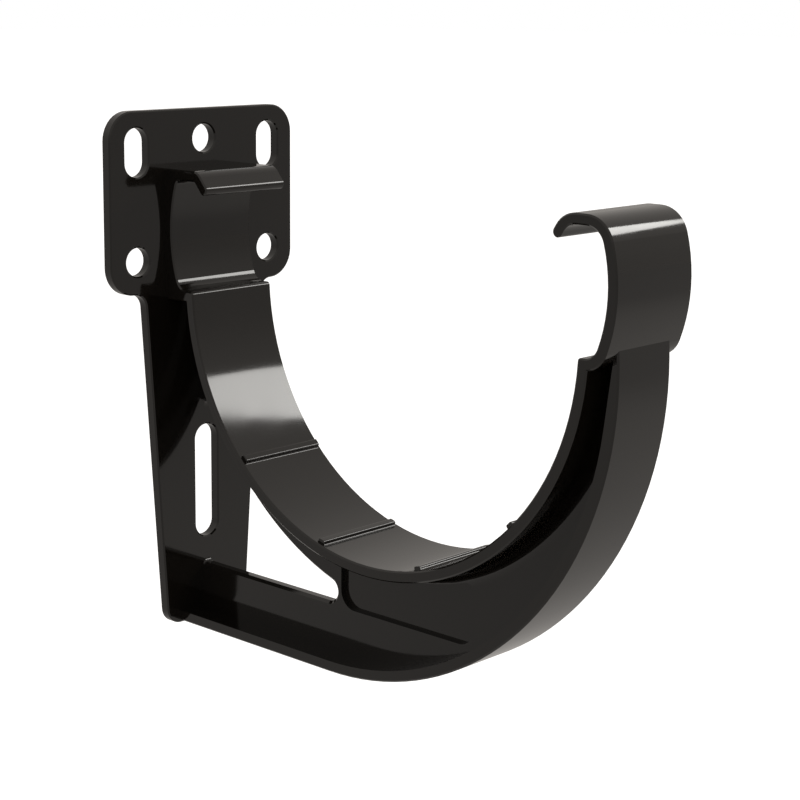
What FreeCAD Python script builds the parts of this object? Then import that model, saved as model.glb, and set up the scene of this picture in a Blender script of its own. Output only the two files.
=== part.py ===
"""Half-round gutter bracket, moulded in one piece.

A flat plate and a tapered strip lie against the wall. A half-round bed carries
the gutter, between a clip at the wall and a hook at the front, both of them the
full width of the bed. A thin web stands under the bed, with a window next to the
wall and a shallow recess, and a narrow rim runs round its lower edge, from the
foot of the strip to the front hook.

X points away from the wall, Y along the gutter and Z up. The origin lies on the
wall face, half-way between the two lower fixing holes. Sizes are millimetres.
"""

import FreeCAD, Part
import math
import os
import re
from types import SimpleNamespace

import Sketcher

NODE = "gutter_bracket"
SHEET = "Sizes"
RIB_COUNT = 4
TOLERANCE = 0.001

# Driving sizes. Heights and drops are measured from the origin, up and down.
SIZES = {
    "Wall plate": {
        "plate_width": 60.5,
        "plate_top": 37.2,
        "plate_drop": 8.2,
        "plate_thickness": 2.6,
        "plate_corner_radius": 7.2,
        "plate_edge_bevel": 0.35,
        "neck_radius": 3.6,
    },
    "Tapered strip below the plate": {
        "strip_top_width": 39.0,
        "strip_foot_width": 26.6,
        "strip_drop": 95.5,
        "foot_corner_radius": 4.5,
    },
    "Fixing holes": {
        "hole_diameter": 7.2,
        "hole_spacing": 43.4,
        "top_slot_height": 27.0,
        "top_slot_travel": 5.0,
        "centre_hole_height": 29.6,
        "strip_slot_width": 7.4,
        "strip_slot_drop": 59.1,
        "strip_slot_travel": 22.4,
    },
    "Half-round bed": {
        "bed_radius": 60.0,
        "bed_reach": 72.74,
        "bed_drop": 4.46,
        "bed_width": 26.3,
        "flange_thickness": 2.7,
        "ledge_drop": 7.3,
        "ledge_edge_radius": 0.8,
        "ledge_fillet_radius": 3.6,
        "bed_side_bevel": 0.35,
    },
    "Ribs across the bed": {
        "rib_width": 1.9,
        "rib_rise": 1.0,
        "rib_edge_radius": 0.4,
        "rib_root_radius": 0.45,
        "rib_end_inset": 0.9,
        "rib_pitch_angle": 30.0,
    },
    "Clip at the wall": {
        "clip_wall_reach": 67.84,
        "clip_wall_radius": 37.0,
        "clip_wall_height": 7.2,
        "clip_top": 22.7,
        "clip_thickness": 2.65,
        "clip_roof_radius": 1.8,
        "clip_bend_reach": 59.54,
        "clip_bend_radius": 0.9,
        "clip_lip_angle": 50.0,
        "clip_lip_length": 3.0,
    },
    "Hook at the front": {
        "hook_wall_reach": 67.06,
        "hook_wall_radius": 34.0,
        "hook_wall_height": 7.2,
        "hook_wall_thickness": 2.6,
        "hook_top": 22.45,
        "hook_thickness": 2.4,
        "hook_roof_radius": 4.5,
        "hook_bend_reach": 58.56,
        "hook_bend_radius": 3.7,
        "hook_lip_angle": 58.0,
        "hook_lip_length": 1.0,
    },
    "Rim": {
        "rim_radius": 83.6,
        "rim_drop": 95.1,
        "rim_end_drop": 5.5,
        "rim_width": 18.3,
        "rim_thickness": 2.7,
        "rim_end_thickness": 0.6,
        "rim_side_bevel": 0.4,
    },
    "Web and its window": {
        "web_thickness": 3.2,
        "web_band": 11.9,
        "web_root_radius": 4.3,
        "window_edge_bevel": 0.7,
        "window_floor_drop": 80.9,
        "window_top_radius": 2.0,
        "window_foot_radius": 1.0,
        "window_end_radius": 2.8,
    },
    "Recess in the web": {
        "recess_reach": 74.7,
        "recess_length": 42.6,
        "recess_drop": 81.5,
        "recess_gap": 2.6,
        "recess_depth": 1.3,
        "recess_foot_radius": 4.5,
        "recess_top_radius": 2.0,
    },
}


def write_sheet(doc):
    """Put the driving sizes in a sheet and return them as one set of names."""
    sheet = doc.addObject("Spreadsheet::Sheet", SHEET)
    row = 0
    for heading, group in SIZES.items():
        row += 1
        sheet.set(f"A{row}", heading)
        for name, value in group.items():
            row += 1
            sheet.set(f"A{row}", name)
            sheet.set(f"B{row}", str(value))
            sheet.setAlias(f"B{row}", name)
    doc.recompute()
    names = [name for group in SIZES.values() for name in group]
    return SimpleNamespace(**{name: float(sheet.get(name)) for name in names})


def cell(expression):
    """The expression, with each size in it read from the sheet."""
    known = {name for group in SIZES.values() for name in group}
    return re.sub(r"[a-z_]+", lambda word: f"{SHEET}.{word[0]}" if word[0] in known else word[0],
                  expression)


def point(x, y):
    """A point of a sketch."""
    return FreeCAD.Vector(x, y, 0)


def on_circle(centre, radius, height, side):
    """The point of a circle at a height, on its right (+1) or left (-1)."""
    rise = height - centre.y
    return point(centre.x + side * math.sqrt(radius ** 2 - rise ** 2), height)


def on_circle_at(centre, radius, x):
    """The point of a circle at a distance along X, on its lower half."""
    run = x - centre.x
    return point(x, centre.y - math.sqrt(radius ** 2 - run ** 2))


def towards(start, goal, length):
    """The point at a length from the start, on the way to the goal."""
    return start + (goal - start).normalize() * length


def crossing(centre_a, radius_a, centre_b, radius_b):
    """The lower of the two points where two circles cross."""
    apart = (centre_b - centre_a).Length
    along = (apart ** 2 + radius_a ** 2 - radius_b ** 2) / (2 * apart)
    across = math.sqrt(radius_a ** 2 - along ** 2)
    foot = towards(centre_a, centre_b, along)
    line = (centre_b - centre_a).normalize()
    swing = point(-line.y, line.x) * across
    return min(foot + swing, foot - swing, key=lambda spot: spot.y)


class Outline:
    """A closed run of lines and arcs, drawn from point to point."""

    def __init__(self, start):
        self.start = start
        self.end = start
        self.edges = []
        self.bound = []

    def line(self, goal):
        """A straight edge to the goal."""
        self.edges.append(Part.LineSegment(self.end, goal))
        self.bound.append(None)
        self.end = goal

    def arc(self, centre, goal, radius=None):
        """The shorter arc about a centre to the goal, its radius bound to the sheet."""
        reach = (self.end - centre).Length
        bisector = (self.end - centre).normalize() + (goal - centre).normalize()
        middle = centre + bisector.normalize() * reach
        self.edges.append(Part.Arc(self.end, middle, goal))
        self.bound.append((reach, radius) if radius else None)
        self.end = goal

    def close(self):
        """A straight edge back to the start."""
        self.line(self.start)


def rounded(corners):
    """An outline of straight edges, each corner given as its point, radius and cell."""
    count = len(corners)
    tangents = []
    for index, (corner, radius, name) in enumerate(corners):
        before = (corners[index - 1][0] - corner).normalize()
        after = (corners[(index + 1) % count][0] - corner).normalize()
        half_turn = math.acos(before.dot(after)) / 2
        reach = radius / math.tan(half_turn)
        centre = corner + (before + after).normalize() * (radius / math.sin(half_turn))
        tangents.append((corner + before * reach, centre, corner + after * reach, name))
    outline = Outline(tangents[-1][2])
    for entry, centre, leave, name in tangents:
        outline.line(entry)
        outline.arc(centre, leave, name)
    return outline


def slot(centre, width, travel, name):
    """An upright slot, its ends round."""
    radius = width / 2
    upper = centre + point(0, travel / 2)
    lower = centre - point(0, travel / 2)
    side = point(radius, 0)
    crown = point(0, radius)
    outline = Outline(lower + side)
    outline.line(upper + side)
    outline.arc(upper, upper + crown, name)
    outline.arc(upper, upper - side, name)
    outline.line(lower - side)
    outline.arc(lower, lower - crown, name)
    outline.arc(lower, lower + side, name)
    return outline


def new_sketch(body, name, plane):
    """An empty sketch on one of the body's own planes."""
    sketch = body.newObject("Sketcher::SketchObject", name)
    planes = [entry for entry in body.Origin.OriginFeatures if entry.Role == plane]
    sketch.AttachmentSupport = [(planes[0], "")]
    sketch.MapMode = "FlatFace"
    return sketch


def bind(sketch, constraint, expression):
    """Add a constraint whose value follows the sheet."""
    index = sketch.addConstraint(constraint)
    sketch.setExpression(f"Constraints[{index}]", cell(expression))


def draw(sketch, outline):
    """Add an outline, its ends joined and its arcs bound to the sheet."""
    first = sketch.GeometryCount
    sketch.addGeometry(outline.edges, False)
    count = len(outline.edges)
    for step in range(count):
        one = first + step
        other = first + (step + 1) % count
        ends = [(a, b) for a in (1, 2) for b in (1, 2)]
        near = min(ends, key=lambda pair: (sketch.getPoint(one, pair[0])
                                           - sketch.getPoint(other, pair[1])).Length)
        sketch.addConstraint(Sketcher.Constraint("Coincident", one, near[0], other, near[1]))
    for step, bound in enumerate(outline.bound):
        if bound:
            radius, name = bound
            bind(sketch, Sketcher.Constraint("Radius", first + step, radius), name)


def circle(sketch, centre, diameter, across, up, name):
    """A round hole, its place and diameter bound to the sheet."""
    index = sketch.addGeometry(Part.Circle(centre, FreeCAD.Vector(0, 0, 1), diameter / 2), False)
    bind(sketch, Sketcher.Constraint("Diameter", index, diameter), name)
    bind(sketch, Sketcher.Constraint("DistanceX", -1, 1, index, 3, centre.x), across)
    bind(sketch, Sketcher.Constraint("DistanceY", -1, 1, index, 3, centre.y), up)


def pad(body, name, sketch, length, both_ways):
    """Raise a sketch, to one side or to both sides of its plane."""
    feature = body.newObject("PartDesign::Pad", name)
    feature.Profile = sketch
    feature.Type = "Length"
    feature.SideType = "Symmetric" if both_ways else "One side"
    feature.setExpression("Length", cell(length))
    return feature


def pocket(body, name, sketch, length, flipped):
    """Cut a sketch into the body, to a depth from the sheet."""
    feature = body.newObject("PartDesign::Pocket", name)
    feature.Profile = sketch
    feature.Type = "Length"
    feature.Reversed = flipped
    feature.setExpression("Length", cell(length))


def lies_at(edge, axis, levels):
    """Whether an edge lies in a plane across an axis, at one of some levels."""
    box = edge.BoundBox
    low = (box.XMin, box.YMin, box.ZMin)[axis]
    high = (box.XMax, box.YMax, box.ZMax)[axis]
    return any(abs(low - level) < TOLERANCE and abs(high - level) < TOLERANCE for level in levels)


def dress_edges(body, name, kind, field, size, wanted):
    """Add a fillet or a chamfer to the wanted edges, with its size from the sheet."""
    base = body.Tip
    names = [f"Edge{index}" for index, edge in enumerate(base.Shape.Edges, 1) if wanted(edge)]
    feature = body.newObject(f"PartDesign::{kind}", name)
    feature.Base = (base, names)
    feature.setExpression(field, cell(size))
    body.Document.recompute()


def round_edges(body, name, radius, wanted):
    """Round the wanted edges of the body."""
    dress_edges(body, name, "Fillet", "Radius", radius, wanted)


def bevel_edges(body, name, size, wanted):
    """Bevel the wanted edges of the body."""
    dress_edges(body, name, "Chamfer", "Size", size, wanted)


def web_pad(body, s, bed, rim):
    """The thin upright web, with the window between it and the strip."""
    inside = s.plate_thickness / 2
    wall = s.plate_thickness
    half_flange = s.flange_thickness / 2
    top = -s.ledge_drop - half_flange
    skin = s.bed_radius + half_flange
    sunk = s.rim_radius - s.rim_end_thickness / 2
    outline = Outline(point(inside, top))
    outline.line(on_circle(bed, skin, top, -1))
    outline.arc(bed, on_circle(bed, skin, top, 1))
    outline.line(on_circle(rim.centre, sunk, rim.top.y, 1))
    outline.arc(rim.centre, rim.centre - point(0, sunk))
    outline.line(point(inside, rim.centre.y - sunk))

    # Window, from its foot at the strip round its far end and back along the band.
    edge = s.bed_radius + s.flange_thickness + s.web_band
    floor = -s.window_floor_drop
    top_centre = on_circle_at(bed, edge + s.window_top_radius, wall + s.window_top_radius)
    end_centre = on_circle(bed, edge + s.window_end_radius, floor + s.window_end_radius, -1)
    foot_centre = point(wall + s.window_foot_radius, floor + s.window_foot_radius)
    far_end = end_centre.x + s.window_end_radius
    outline.line(point(inside, foot_centre.y))
    outline.line(point(wall, foot_centre.y))
    outline.arc(foot_centre, point(foot_centre.x, floor), "window_foot_radius")
    outline.line(point(end_centre.x, floor))
    outline.arc(end_centre, point(far_end, end_centre.y), "window_end_radius")
    outline.arc(end_centre, towards(bed, end_centre, edge), "window_end_radius")
    outline.arc(bed, towards(bed, top_centre, edge))
    outline.arc(top_centre, point(wall, top_centre.y), "window_top_radius")
    outline.line(point(inside, top_centre.y))
    outline.close()

    sketch = new_sketch(body, "web_outline", "XZ_Plane")
    draw(sketch, outline)
    pad(body, "web", sketch, "web_thickness", True)
    body.Document.recompute()
    half_web = s.web_thickness / 2
    window = FreeCAD.BoundBox(wall, -half_web, floor,
                              far_end, half_web, top_centre.y + s.window_top_radius)
    window.enlarge(TOLERANCE)
    bevel_edges(body, "window_edges", "min(window_edge_bevel; 0.45 * web_thickness)",
                lambda edge: lies_at(edge, 1, (half_web, -half_web))
                and window.isInside(edge.BoundBox))


def hollow(s, bed, side, reach, radius, height, roof, eaves_radius):
    """The centres that shape a hollow wall, from the bed's edge up to its roof."""
    wall = point(bed.x + side * (reach - radius), height)
    edge_height = -s.ledge_drop - s.ledge_edge_radius
    edge = on_circle(bed, s.bed_radius + s.ledge_edge_radius, edge_height, side)
    ledge_height = -s.ledge_drop + s.ledge_fillet_radius
    ledge = on_circle(wall, radius - s.ledge_fillet_radius, ledge_height, side)
    eaves = on_circle(wall, radius - eaves_radius, roof - eaves_radius, side)
    return SimpleNamespace(wall=wall, edge=edge, ledge=ledge, eaves=eaves, radius=radius)


def lip(bend, side, inner, thickness, angle, length):
    """The points of a lip that bends down from a roof and ends in a round tip."""
    turn = math.radians(90 - angle)
    out = point(side * math.cos(turn), math.sin(turn))
    along = point(side * math.sin(turn), -math.cos(turn))
    half = thickness / 2
    tip = bend + out * (inner + half) + along * length
    return SimpleNamespace(
        over=bend + out * (inner + thickness), outer=tip + out * half, tip=tip,
        nose=tip + along * half, inner=tip - out * half, under=bend + out * inner)


def cradle_pad(body, s, bed):
    """The bed with its ledges, the clip at the wall and the hook at the front."""
    skin = s.bed_radius + s.flange_thickness
    clip_roof = s.clip_top - s.clip_thickness
    hook_roof = s.hook_top - s.hook_thickness
    clip = hollow(s, bed, -1, s.clip_wall_reach, s.clip_wall_radius, s.clip_wall_height,
                  clip_roof, s.clip_roof_radius)
    hook = hollow(s, bed, 1, s.hook_wall_reach, s.hook_wall_radius, s.hook_wall_height,
                  hook_roof, s.hook_roof_radius)
    up = point(0, 1)

    # Clip, from the wall face over its top to the tip of its lip and back inside.
    bend = point(bed.x - s.clip_bend_reach, clip_roof - s.clip_bend_radius)
    curl = lip(bend, 1, s.clip_bend_radius, s.clip_thickness, s.clip_lip_angle, s.clip_lip_length)
    outline = Outline(point(0, s.clip_top))
    outline.line(point(bend.x, s.clip_top))
    outline.arc(bend, curl.over, "clip_bend_radius + clip_thickness")
    outline.line(curl.outer)
    outline.arc(curl.tip, curl.nose, "clip_thickness / 2")
    outline.arc(curl.tip, curl.inner, "clip_thickness / 2")
    outline.line(curl.under)
    outline.arc(bend, point(bend.x, clip_roof), "clip_bend_radius")

    # Hollow wall of the clip, down to the ledge and the bed.
    outline.line(clip.eaves + up * s.clip_roof_radius)
    outline.arc(clip.eaves, towards(clip.wall, clip.eaves, clip.radius), "clip_roof_radius")
    outline.arc(clip.wall, towards(clip.wall, clip.ledge, clip.radius), "clip_wall_radius")
    outline.arc(clip.ledge, clip.ledge - up * s.ledge_fillet_radius, "ledge_fillet_radius")
    outline.line(clip.edge + up * s.ledge_edge_radius)
    outline.arc(clip.edge, towards(bed, clip.edge, s.bed_radius), "ledge_edge_radius")

    # Bed, then the ledge and the hollow wall of the hook.
    outline.arc(bed, towards(bed, hook.edge, s.bed_radius), "bed_radius")
    outline.arc(hook.edge, hook.edge + up * s.ledge_edge_radius, "ledge_edge_radius")
    outline.line(hook.ledge - up * s.ledge_fillet_radius)
    outline.arc(hook.ledge, towards(hook.wall, hook.ledge, hook.radius), "ledge_fillet_radius")
    outline.arc(hook.wall, towards(hook.wall, hook.eaves, hook.radius), "hook_wall_radius")
    outline.arc(hook.eaves, hook.eaves + up * s.hook_roof_radius, "hook_roof_radius")

    # Lip of the hook, from inside to the top of the hook.
    bend = point(bed.x + s.hook_bend_reach, hook_roof - s.hook_bend_radius)
    curl = lip(bend, -1, s.hook_bend_radius, s.hook_thickness, s.hook_lip_angle, s.hook_lip_length)
    outline.line(point(bend.x, hook_roof))
    outline.arc(bend, curl.under, "hook_bend_radius")
    outline.line(curl.inner)
    outline.arc(curl.tip, curl.nose, "hook_thickness / 2")
    outline.arc(curl.tip, curl.outer, "hook_thickness / 2")
    outline.line(curl.over)
    outline.arc(bend, point(bend.x, s.hook_top), "hook_bend_radius + hook_thickness")

    # Outside of the hook, down its wall and round its heel to the underside of the bed.
    shoulder = s.hook_roof_radius + s.hook_wall_thickness
    outer = s.hook_wall_radius + s.hook_wall_thickness
    heel = s.ledge_fillet_radius + s.hook_wall_thickness
    crown = on_circle(hook.wall, outer - shoulder, s.hook_top - shoulder, 1)
    outline.line(crown + up * shoulder)
    outline.arc(crown, towards(hook.wall, crown, outer), "hook_roof_radius + hook_wall_thickness")
    outline.arc(hook.wall, towards(hook.wall, hook.ledge, outer),
                "hook_wall_radius + hook_wall_thickness")
    outline.arc(hook.ledge, crossing(hook.ledge, heel, bed, skin),
                "ledge_fillet_radius + hook_wall_thickness")
    under = -s.ledge_drop - s.flange_thickness
    outline.arc(bed, on_circle(bed, skin, under, -1), "bed_radius + flange_thickness")
    outline.line(point(0, under))
    outline.close()

    sketch = new_sketch(body, "cradle_outline", "XZ_Plane")
    draw(sketch, outline)
    pad(body, "cradle", sketch, "bed_width", True)
    body.Document.recompute()
    half_bed = s.bed_width / 2
    bevel_edges(body, "cradle_edges", "bed_side_bevel",
                lambda edge: lies_at(edge, 1, (half_bed, -half_bed)))


def rim_line(s, bed):
    """The outer line of the rim: its lowest point, its centre and its end at the hook."""
    wall = point(bed.x + s.hook_wall_reach - s.hook_wall_radius, s.hook_wall_height)
    outer = s.hook_wall_radius + s.hook_wall_thickness
    end = on_circle(wall, outer, -s.rim_end_drop, 1)
    height = s.rim_radius - s.rim_drop
    rise = end.y - height
    centre = point(end.x - math.sqrt(s.rim_radius ** 2 - rise ** 2), height)
    top = on_circle(centre, s.rim_radius, end.y + s.hook_wall_thickness / 2, 1)
    return SimpleNamespace(centre=centre, top=top, low=point(centre.x, -s.rim_drop))


def tangent_point(centre, radius, start):
    """The point of a circle, below the start, where a line from the start touches it."""
    apart = (start - centre).Length
    turn = math.atan2(start.y - centre.y, start.x - centre.x) - math.acos(radius / apart)
    return centre + point(math.cos(turn), math.sin(turn)) * radius


def rim_pad(body, s, rim):
    """The narrow rim, level under the web and then round to the hook, where it thins out."""
    inner = s.rim_radius - s.rim_thickness
    inner_top = rim.top - point(s.rim_end_thickness, 0)
    outline = Outline(point(0, rim.low.y))
    outline.line(rim.low)
    outline.arc(rim.centre, rim.top, "rim_radius")
    outline.line(inner_top)
    outline.line(tangent_point(rim.centre, inner, inner_top))
    outline.arc(rim.centre, point(rim.low.x, rim.centre.y - inner), "rim_radius - rim_thickness")
    outline.line(point(0, rim.centre.y - inner))
    outline.close()
    sketch = new_sketch(body, "rim_outline", "XZ_Plane")
    draw(sketch, outline)
    pad(body, "rim", sketch, "rim_width", True)
    body.Document.recompute()
    half_rim = s.rim_width / 2

    def outer_side(edge):
        middle = edge.valueAt((edge.FirstParameter + edge.LastParameter) / 2)
        run = max(middle.x - rim.centre.x, 0)
        reach = math.hypot(run, middle.z - rim.centre.y)
        return lies_at(edge, 1, (half_rim, -half_rim)) and abs(reach - s.rim_radius) < TOLERANCE

    bevel_edges(body, "rim_edges", "rim_side_bevel", outer_side)


def web_root(body, s, bed):
    """The hollow fillets between the web and the underside of the bed."""
    skin = s.bed_radius + s.flange_thickness
    half_web = s.web_thickness / 2

    def under_bed(edge):
        if not lies_at(edge, 1, (half_web, -half_web)) or not hasattr(edge.Curve, "Radius"):
            return False
        return abs(edge.Curve.Radius - skin) < TOLERANCE

    round_edges(body, "web_roots", "web_root_radius", under_bed)


def plate_pad(body, s):
    """The wall plate with round corners, and the tapered strip below it."""
    half_plate = s.plate_width / 2
    half_strip = s.strip_top_width / 2
    half_foot = s.strip_foot_width / 2
    right = [
        (point(half_plate, s.plate_top), s.plate_corner_radius, "plate_corner_radius"),
        (point(half_plate, -s.plate_drop), s.plate_corner_radius, "plate_corner_radius"),
        (point(half_strip, -s.plate_drop), s.neck_radius, "neck_radius"),
        (point(half_foot, -s.strip_drop), s.foot_corner_radius, "foot_corner_radius"),
    ]
    left = [(point(-corner.x, corner.y), radius, name) for corner, radius, name in reversed(right)]
    sketch = new_sketch(body, "plate_outline", "YZ_Plane")
    draw(sketch, rounded(right + left))
    pad(body, "plate", sketch, "plate_thickness", False)


def fixing_pocket(body, s):
    """Two slots and a hole above the clip, two holes beside it, a long slot below."""
    sketch = new_sketch(body, "fixing_outline", "YZ_Plane")
    half = s.hole_spacing / 2
    for side in (-1, 1):
        upper = point(side * half, s.top_slot_height)
        draw(sketch, slot(upper, s.hole_diameter, s.top_slot_travel, "hole_diameter / 2"))
        circle(sketch, point(side * half, 0), s.hole_diameter,
               f"{side} * hole_spacing / 2", "0", "hole_diameter")
    circle(sketch, point(0, s.centre_hole_height), s.hole_diameter,
           "0", "centre_hole_height", "hole_diameter")
    lower = point(0, -s.strip_slot_drop)
    draw(sketch, slot(lower, s.strip_slot_width, s.strip_slot_travel, "strip_slot_width / 2"))
    pocket(body, "fixing_holes", sketch, "plate_thickness", True)
    body.Document.recompute()
    bevel_edges(body, "plate_edges", "plate_edge_bevel",
                lambda edge: lies_at(edge, 0, (s.plate_thickness,)))


def recess_pocket(body, s, bed):
    """The shallow recess on the near side of the web, under the bed."""
    half = s.recess_length / 2
    start = s.recess_reach - half
    stop = s.recess_reach + half
    foot = -s.recess_drop
    ceiling = s.bed_radius + s.flange_thickness + s.recess_gap
    corner = s.recess_foot_radius
    bend = s.recess_top_radius
    low_left = point(start + corner, foot + corner)
    low_right = point(stop - corner, foot + corner)
    top_left = on_circle_at(bed, ceiling + bend, start + bend)
    top_right = on_circle_at(bed, ceiling + bend, stop - bend)
    outline = Outline(point(start, top_left.y))
    outline.line(low_left - point(corner, 0))
    outline.arc(low_left, low_left - point(0, corner), "recess_foot_radius")
    outline.line(low_right - point(0, corner))
    outline.arc(low_right, low_right + point(corner, 0), "recess_foot_radius")
    outline.line(top_right + point(bend, 0))
    outline.arc(top_right, towards(bed, top_right, ceiling), "recess_top_radius")
    outline.arc(bed, towards(bed, top_left, ceiling))
    outline.arc(top_left, point(start, top_left.y), "recess_top_radius")
    sketch = new_sketch(body, "recess_outline", "XZ_Plane")
    sketch.setExpression(".AttachmentOffset.Base.z", cell("web_thickness / 2 + web_root_radius"))
    draw(sketch, outline)
    pocket(body, "recess", sketch, "web_root_radius + recess_depth", False)


def rib_pattern(body, s):
    """Four low ribs across the bed, evenly spaced about its lowest line."""
    start = math.radians(270 - (RIB_COUNT - 1) / 2 * s.rib_pitch_angle)
    outward = point(math.cos(start), math.sin(start))
    along = point(-outward.y, outward.x)
    half = s.rib_width / 2
    edge = s.rib_edge_radius
    root = s.rib_root_radius
    crest = s.bed_radius - s.rib_rise + edge
    foot = math.sqrt((s.bed_radius - root) ** 2 - (half + root) ** 2)
    seat = s.bed_radius + s.flange_thickness / 2

    def spot(across, out):
        return along * across + outward * out

    one = spot(-half - root, foot)
    other = spot(half + root, foot)
    axis = point(0, 0)
    outline = Outline(spot(-half - root, seat))
    outline.line(towards(axis, one, s.bed_radius))
    outline.arc(one, spot(-half, foot), "rib_root_radius")
    outline.line(spot(-half, crest))
    outline.arc(spot(edge - half, crest), spot(edge - half, crest - edge), "rib_edge_radius")
    outline.line(spot(half - edge, crest - edge))
    outline.arc(spot(half - edge, crest), spot(half, crest), "rib_edge_radius")
    outline.line(spot(half, foot))
    outline.arc(other, towards(axis, other, s.bed_radius), "rib_root_radius")
    outline.line(spot(half + root, seat))
    outline.close()

    # The sketch's own origin lies on the axis of the bed.
    sketch = new_sketch(body, "rib_outline", "XZ_Plane")
    sketch.setExpression(".AttachmentOffset.Base.x", cell("bed_reach"))
    sketch.setExpression(".AttachmentOffset.Base.y", cell("-1 * bed_drop"))
    draw(sketch, outline)
    rib = pad(body, "rib", sketch, "bed_width - 2 * rib_end_inset", True)
    ribs = body.newObject("PartDesign::PolarPattern", "ribs")
    ribs.Originals = [rib]
    ribs.Axis = (sketch, ["N_Axis"])
    ribs.Occurrences = RIB_COUNT
    ribs.setExpression("Angle", cell(f"{RIB_COUNT - 1} * rib_pitch_angle"))
    body.Tip = ribs


def check(doc, body):
    """Stop if any object of the document failed."""
    for entry in doc.Objects:
        states = set(entry.State) & {"Invalid", "Error"}
        if states:
            raise RuntimeError(f"{entry.Name} failed: {entry.State}")
    if body.Shape.isNull() or not body.Shape.isValid():
        raise RuntimeError(f"{body.Label} has no valid shape")


def main():
    """Build the bracket and write its solid."""
    doc = FreeCAD.newDocument("gutter_bracket")
    s = write_sheet(doc)
    bed = point(s.bed_reach, -s.bed_drop)
    rim = rim_line(s, bed)

    plate = doc.addObject("PartDesign::Body", "plate_body")
    plate.Label = "wall_plate"
    plate_pad(plate, s)
    fixing_pocket(plate, s)

    body = doc.addObject("PartDesign::Body", "bracket_body")
    body.Label = NODE
    rim_pad(body, s, rim)
    web_pad(body, s, bed, rim)
    cradle_pad(body, s, bed)
    web_root(body, s, bed)
    recess_pocket(body, s, bed)
    rib_pattern(body, s)
    joined = body.newObject("PartDesign::Boolean", "joined")
    joined.Type = "Fuse"
    joined.Group = [plate]
    doc.recompute()
    check(doc, body)
    os.makedirs("parts", exist_ok=True)
    body.Shape.exportStep(os.path.join("parts", NODE + ".step"))


main()
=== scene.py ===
"""Half-round gutter bracket of glossy black plastic, in a plain white studio."""

import math

import bpy
from bpy.props import FloatProperty, FloatVectorProperty, PointerProperty
from mathutils import Matrix, Vector


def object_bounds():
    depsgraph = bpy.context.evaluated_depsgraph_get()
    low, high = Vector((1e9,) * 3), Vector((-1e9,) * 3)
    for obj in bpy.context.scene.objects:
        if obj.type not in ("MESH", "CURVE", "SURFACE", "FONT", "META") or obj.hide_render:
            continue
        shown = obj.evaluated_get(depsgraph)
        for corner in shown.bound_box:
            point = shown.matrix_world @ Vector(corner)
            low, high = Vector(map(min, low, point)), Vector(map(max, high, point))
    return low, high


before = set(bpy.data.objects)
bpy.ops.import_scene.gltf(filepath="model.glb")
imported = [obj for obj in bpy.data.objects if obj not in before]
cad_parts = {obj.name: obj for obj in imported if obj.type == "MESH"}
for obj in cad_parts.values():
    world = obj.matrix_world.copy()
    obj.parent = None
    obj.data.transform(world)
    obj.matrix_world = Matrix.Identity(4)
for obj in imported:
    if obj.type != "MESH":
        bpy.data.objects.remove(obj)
cad_low, cad_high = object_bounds()

bl_info = {
    "name": "Gutter bracket studio",
    "version": (1, 0, 0),
    "blender": (4, 5, 0),
    "location": "View3D > Sidebar > Bracket",
    "description": "Finishes a moulded gutter bracket and sets up its studio",
    "category": "Object",
}

BRACKET = "gutter_bracket"
PLASTIC_IOR = 1.5
CLOUD_EDGES = (0.45, 0.7)       # noise levels between which the haze sets in
CEILING_EDGES = (0.0, 0.5)      # sines of the heights between which the ceiling brightens
WHITE = (1, 1, 1, 1)
FLOOR_SHADE = (0.62, 0.59, 0.56, 1)
FLOOR_GLOW = 0.8                # what the camera sees on top of the floor's own shade
SENSOR_WIDTH = 36
NEAR_CLIP = 0.01


class Sock:
    """A node socket on which values are worked out with Python's own operators."""

    def __init__(self, tree, socket):
        self.tree = tree
        self.socket = socket

    def node(self, kind, settings=None, **inputs):
        """Add a node with its settings, then its values or links, and give it back."""
        made = self.tree.nodes.new(kind)
        for name, value in (settings or {}).items():
            setattr(made, name, value)
        for name, value in inputs.items():
            key = int(name[1:]) if name[0] == "i" and name[1:].isdigit() else name.replace("_", " ")
            target = made.inputs[key]
            if isinstance(value, Sock):
                self.tree.links.new(value.socket, target)
            else:
                target.default_value = value
        return made

    def math(self, operation, *values):
        """A Math node on values."""
        inputs = {f"i{index}": value for index, value in enumerate(values)}
        made = self.node("ShaderNodeMath", {"operation": operation}, **inputs)
        return Sock(self.tree, made.outputs[0])

    def __add__(self, other):
        return self.math("ADD", self, other)

    __radd__ = __add__

    def __mul__(self, other):
        return self.math("MULTIPLY", self, other)

    __rmul__ = __mul__

    def __sub__(self, other):
        return self.math("SUBTRACT", self, other)

    def __rsub__(self, other):
        return self.math("SUBTRACT", other, self)

    def ramp(self, low, high):
        """0 below low and 1 above high, with a soft change between."""
        made = self.node("ShaderNodeMapRange", {"interpolation_type": "SMOOTHSTEP"},
                         Value=self, From_Min=low, From_Max=high)
        return Sock(self.tree, made.outputs["Result"])


def fresh_tree(owner):
    """The owner's node tree, emptied, with a socket to build from."""
    owner.use_nodes = True
    tree = owner.node_tree
    tree.nodes.clear()
    return tree, Sock(tree, None)


def ray_kinds(tree, base):
    """Whether a ray comes from the camera, and whether from a face that mirrors or lets through."""
    path = base.node("ShaderNodeLightPath")
    camera, glossy, through = (Sock(tree, path.outputs[f"Is {kind} Ray"])
                               for kind in ("Camera", "Glossy", "Transmission"))
    return camera, glossy + through


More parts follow.
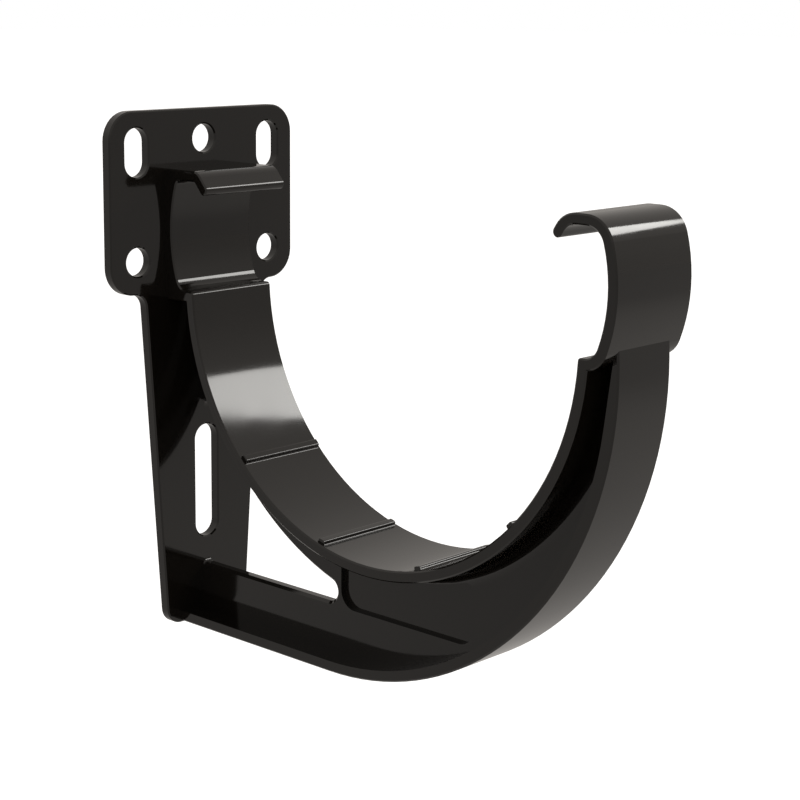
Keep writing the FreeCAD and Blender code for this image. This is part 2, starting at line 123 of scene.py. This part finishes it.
class BracketFinish(bpy.types.PropertyGroup):
    """Finish of the moulded plastic."""

    colour: FloatVectorProperty(
        name="Colour", description="Colour of the plastic", subtype="COLOR", size=4,
        min=0, max=1, default=(0.0055, 0.0043, 0.0032, 1))
    roughness: FloatProperty(
        name="Roughness", description="Roughness of the polished faces", subtype="FACTOR",
        min=0, max=1, default=0.08)
    haze: FloatProperty(
        name="Haze", description="Extra roughness in the cloudy places", subtype="FACTOR",
        min=0, max=1, default=0.03)
    waviness: FloatProperty(
        name="Waviness", description="Height of the faint sink marks in the faces",
        subtype="DISTANCE", unit="LENGTH", min=0, default=0.000015)
    wave_length: FloatProperty(
        name="Wave length", description="Distance between the sink marks",
        subtype="DISTANCE", unit="LENGTH", min=0.001, default=0.018)


class BracketStudio(bpy.types.PropertyGroup):
    """Camera and light of the studio."""

    camera_place: FloatVectorProperty(
        name="Camera place", description="Where the camera stands", subtype="TRANSLATION",
        unit="LENGTH", size=3, default=(0.369785, -0.320208, 0.066226))
    camera_yaw: FloatProperty(
        name="Camera yaw", description="Turn of the view from -X towards +Y",
        subtype="ANGLE", unit="ROTATION", default=0.8195)
    camera_pitch: FloatProperty(
        name="Camera pitch", description="How far the view dips below level",
        subtype="ANGLE", unit="ROTATION", default=0.1692)
    camera_roll: FloatProperty(
        name="Camera roll", description="Turn of the camera about its view",
        subtype="ANGLE", unit="ROTATION", default=0.0084)
    lens: FloatProperty(
        name="Lens", description="Focal length in millimetres on a 36 mm sensor",
        min=10, default=86.35)
    lens_drop: FloatProperty(
        name="Lens drop", description="Downward shift of the lens, as a share of the frame",
        subtype="FACTOR", min=0, max=0.2, default=0.1)
    surround: FloatProperty(
        name="Surround", description="Light level of the room on matt faces",
        min=0, default=0.50)
    mirrored: FloatProperty(
        name="Mirrored room", description="Level of the horizon as glossy faces mirror it",
        min=0, default=0.44)
    mirrored_tint: FloatVectorProperty(
        name="Mirrored tint", description="Tint of the room as glossy faces mirror it",
        subtype="COLOR", size=4, min=0, max=1, default=(1, 0.945, 0.885, 1))
    ceiling: FloatProperty(
        name="Ceiling", description="Light that the ceiling adds to the room",
        min=0, default=0.2)
    lamp_azimuth: FloatProperty(
        name="Lamp azimuth", description="Turn of the lamp from +X towards +Y",
        subtype="ANGLE", unit="ROTATION", default=math.radians(57.8))
    lamp_height: FloatProperty(
        name="Lamp height", description="Angle of the lamp above level",
        subtype="ANGLE", unit="ROTATION", default=math.radians(31.5))
    lamp_roll: FloatProperty(
        name="Lamp roll", description="Turn of the lamp about its beam",
        subtype="ANGLE", unit="ROTATION", default=math.radians(25.0))
    lamp_distance: FloatProperty(
        name="Lamp distance", description="Distance of the lamp from the bracket",
        subtype="DISTANCE", unit="LENGTH", min=0.2, default=1.61)
    lamp_size: FloatVectorProperty(
        name="Lamp size", description="Width and height of the oval lamp",
        unit="LENGTH", size=2, min=0.01, default=(0.77, 0.31))
    lamp_level: FloatProperty(
        name="Lamp level", description="Brightness of the lamp, where 1 is white",
        min=0, default=9.3)
    lamp_tint: FloatVectorProperty(
        name="Lamp tint", description="Tint of the lamp's light", subtype="COLOR", size=3,
        min=0, max=1, default=(1, 0.985, 0.95))
    floor_drop: FloatProperty(
        name="Floor drop", description="How far the floor lies below the bracket",
        subtype="DISTANCE", unit="LENGTH", min=0, default=0.35)
    floor_size: FloatProperty(
        name="Floor size", description="Length of each side of the floor",
        subtype="DISTANCE", unit="LENGTH", min=1, default=40.0)


def clear_selection():
    """Leave nothing selected."""
    bpy.ops.object.select_all(action="DESELECT")


class BRACKET_OT_finish(bpy.types.Operator):
    """Give the bracket its polished black plastic"""

    bl_idname = "bracket.finish"
    bl_label = "Finish the bracket"

    def execute(self, context):
        """Build the plastic and put it on the moulding."""
        finish = context.scene.bracket_finish
        plastic = bpy.data.materials.new("black_plastic")
        tree, base = fresh_tree(plastic)
        place = Sock(tree, base.node("ShaderNodeTexCoord").outputs["Object"])
        clouds = base.node("ShaderNodeTexNoise", Vector=place, Scale=1 / finish.wave_length,
                           Detail=2.0, Roughness=0.4)
        cloud = Sock(tree, clouds.outputs["Fac"])
        bump = base.node("ShaderNodeBump", Strength=1.0, Distance=finish.waviness, Height=cloud)
        shader = base.node("ShaderNodeBsdfPrincipled", Base_Color=finish.colour,
                           Roughness=finish.roughness + finish.haze * cloud.ramp(*CLOUD_EDGES),
                           Normal=Sock(tree, bump.outputs["Normal"]))
        shader.inputs["IOR"].default_value = PLASTIC_IOR
        base.node("ShaderNodeOutputMaterial", Surface=Sock(tree, shader.outputs["BSDF"]))
        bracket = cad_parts[BRACKET]
        bracket.data.materials.clear()
        bracket.data.materials.append(plastic)
        return {"FINISHED"}


class BRACKET_OT_stage(bpy.types.Operator):
    """Set up the floor, the surround, the lamp and the camera"""

    bl_idname = "bracket.stage"
    bl_label = "Set up the studio"

    def execute(self, context):
        """Build the studio round the bracket."""
        studio = context.scene.bracket_studio
        self.floor(studio)
        self.surround(context, studio)
        self.lamp(context, studio)
        self.camera(context, studio)
        return {"FINISHED"}

    def floor(self, studio):
        """A plain floor well below the bracket, pale in itself and white to the camera."""
        clear_selection()
        bpy.ops.mesh.primitive_plane_add(size=1)
        floor = bpy.context.object
        floor.name = "studio_floor"
        height = cad_low.z - studio.floor_drop
        floor.data.transform(Matrix.Translation((0, 0, height)) @ Matrix.Scale(studio.floor_size, 4))
        paint = bpy.data.materials.new("white_floor")
        tree, base = fresh_tree(paint)
        camera = ray_kinds(tree, base)[0]
        matt = base.node("ShaderNodeBsdfDiffuse", Color=FLOOR_SHADE)
        white = base.node("ShaderNodeEmission", Color=WHITE, Strength=camera * FLOOR_GLOW)
        both = base.node("ShaderNodeAddShader", i0=Sock(tree, matt.outputs["BSDF"]),
                         i1=Sock(tree, white.outputs["Emission"]))
        base.node("ShaderNodeOutputMaterial", Surface=Sock(tree, both.outputs[0]))
        floor.data.materials.append(paint)

    def surround(self, context, studio):
        """A plain room: white to the camera, grey and a little warm where it is mirrored."""
        world = bpy.data.worlds.new("studio_surround")
        context.scene.world = world
        tree, base = fresh_tree(world)
        camera, mirror = ray_kinds(tree, base)
        way = base.node("ShaderNodeTexCoord")
        parts = base.node("ShaderNodeSeparateXYZ", Vector=Sock(tree, way.outputs["Generated"]))
        rise = Sock(tree, parts.outputs["Z"]).ramp(*CEILING_EDGES)
        ceiling = rise * studio.ceiling
        plain = base.node("ShaderNodeBackground", Color=WHITE,
                          Strength=camera + (1 - camera) * studio.surround + ceiling)
        grey = base.node("ShaderNodeBackground", Color=studio.mirrored_tint,
                         Strength=ceiling + studio.mirrored)
        either = base.node("ShaderNodeMixShader", Fac=mirror,
                           i1=Sock(tree, plain.outputs["Background"]),
                           i2=Sock(tree, grey.outputs["Background"]))
        base.node("ShaderNodeOutputWorld", Surface=Sock(tree, either.outputs[0]))

    def lamp(self, context, studio):
        """An oval lamp above the bracket, off its far front side."""
        width, height = studio.lamp_size
        light = bpy.data.lights.new("oval_lamp", "AREA")
        light.shape = "ELLIPSE"
        light.size = width
        light.size_y = height
        light.energy = studio.lamp_level * math.pi * (math.pi / 4 * width * height)
        light.color = studio.lamp_tint
        lamp = bpy.data.objects.new("oval_lamp", light)
        context.collection.objects.link(lamp)
        turn, rise = studio.lamp_azimuth, studio.lamp_height
        way = Vector((math.cos(turn) * math.cos(rise), math.sin(turn) * math.cos(rise),
                      math.sin(rise)))
        place = (cad_low + cad_high) / 2 + way * studio.lamp_distance
        facing = way.to_track_quat("Z", "Y").to_matrix().to_4x4()
        lamp.matrix_world = (Matrix.Translation(place) @ facing
                             @ Matrix.Rotation(studio.lamp_roll, 4, "Z"))
        lamp.visible_camera = False

    def camera(self, context, studio):
        """The camera, at the viewing angle of the picture."""
        lens = bpy.data.cameras.new("camera")
        lens.sensor_width = SENSOR_WIDTH
        lens.lens = studio.lens
        lens.shift_y = -studio.lens_drop
        lens.clip_start = NEAR_CLIP
        camera = bpy.data.objects.new("camera", lens)
        context.collection.objects.link(camera)
        yaw, pitch = studio.camera_yaw, studio.camera_pitch
        ahead = Vector((-math.cos(yaw) * math.cos(pitch), math.sin(yaw) * math.cos(pitch),
                        -math.sin(pitch)))
        level = ahead.to_track_quat("-Z", "Y").to_matrix().to_4x4()
        camera.matrix_world = (Matrix.Translation(studio.camera_place) @ level
                               @ Matrix.Rotation(studio.camera_roll, 4, "Z"))
        context.scene.camera = camera
        context.scene.view_settings.view_transform = "Standard"


class BRACKET_PT_panel(bpy.types.Panel):
    """The bracket's finish and studio"""

    bl_label = "Gutter bracket"
    bl_idname = "BRACKET_PT_panel"
    bl_space_type = "VIEW_3D"
    bl_region_type = "UI"
    bl_category = "Bracket"

    def draw(self, context):
        """List the settings of each group under its operator."""
        groups = (
            (BRACKET_OT_finish, context.scene.bracket_finish),
            (BRACKET_OT_stage, context.scene.bracket_studio),
        )
        for operator, group in groups:
            column = self.layout.column()
            column.operator(operator.bl_idname)
            for name in group.__annotations__:
                column.prop(group, name)


CLASSES = (BracketFinish, BracketStudio, BRACKET_OT_finish, BRACKET_OT_stage, BRACKET_PT_panel)


def register():
    """Add the classes and their settings."""
    for entry in CLASSES:
        bpy.utils.register_class(entry)
    bpy.types.Scene.bracket_finish = PointerProperty(type=BracketFinish)
    bpy.types.Scene.bracket_studio = PointerProperty(type=BracketStudio)


def unregister():
    """Take the classes and their settings away."""
    del bpy.types.Scene.bracket_studio
    del bpy.types.Scene.bracket_finish
    for entry in reversed(CLASSES):
        bpy.utils.unregister_class(entry)


def main():
    """Register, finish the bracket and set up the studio."""
    register()
    bpy.ops.bracket.finish()
    bpy.ops.bracket.stage()


if __name__ == "__main__":
    main()
